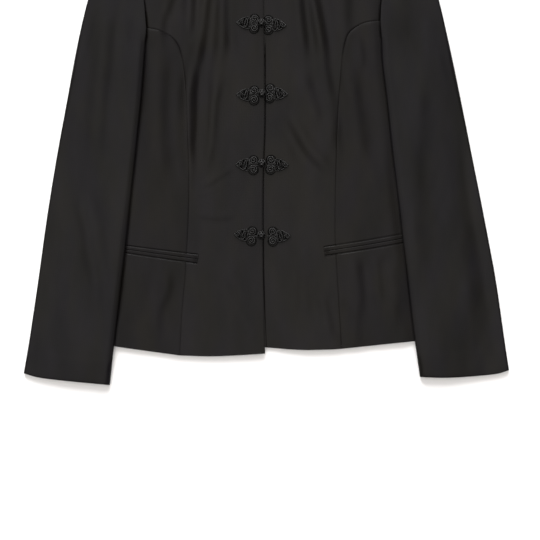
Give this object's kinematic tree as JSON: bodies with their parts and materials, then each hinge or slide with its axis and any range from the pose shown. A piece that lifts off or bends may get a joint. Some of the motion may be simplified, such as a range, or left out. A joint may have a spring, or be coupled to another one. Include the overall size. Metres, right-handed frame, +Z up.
{
  "type": "tang jacket",
  "caption": "Dark stand-collar jacket laid flat and buttoned, with knotted cord fastenings down the front, shaped seams, jetted pockets and long sleeves.",
  "frame": {"origin": "centre of the jacket's box in plan, on the surface that it lies on", "axes": "+X towards the wearer's left, +Y from the hem up to the collar, +Z up from the surface, out of the front"},
  "size_m": [0.67, 0.6978, 0.017],
  "materials": {
    "black_cloth": "soft matt suiting, a fine plain weave with a slight sheen",
    "black_cord": "satin-covered cord, wound and knotted"
  },
  "bodies": {
    "root": {"back": "black_cloth", "frog_1_ball_knot": "black_cord", "frog_1_knot_half": "black_cord", "frog_1_loop_half": "black_cord", "frog_2_ball_knot": "black_cord", "frog_2_knot_half": "black_cord", "frog_2_loop_half": "black_cord", "frog_3_ball_knot": "black_cord", "frog_3_knot_half": "black_cord", "frog_3_loop_half": "black_cord", "frog_4_ball_knot": "black_cord", "frog_4_knot_half": "black_cord", "frog_4_loop_half": "black_cord", "frog_5_ball_knot": "black_cord", "frog_5_knot_half": "black_cord", "frog_5_loop_half": "black_cord", "left_front": "black_cloth", "left_pocket_lower_welt": "black_cloth", "left_pocket_upper_welt": "black_cloth", "left_side_front": "black_cloth", "left_under_sleeve": "black_cloth", "left_upper_sleeve": "black_cloth", "right_front": "black_cloth", "right_pocket_lower_welt": "black_cloth", "right_pocket_upper_welt": "black_cloth", "right_side_front": "black_cloth", "right_under_sleeve": "black_cloth", "right_upper_sleeve": "black_cloth", "stand_collar": "black_cloth"}
  },
  "joints": []
}
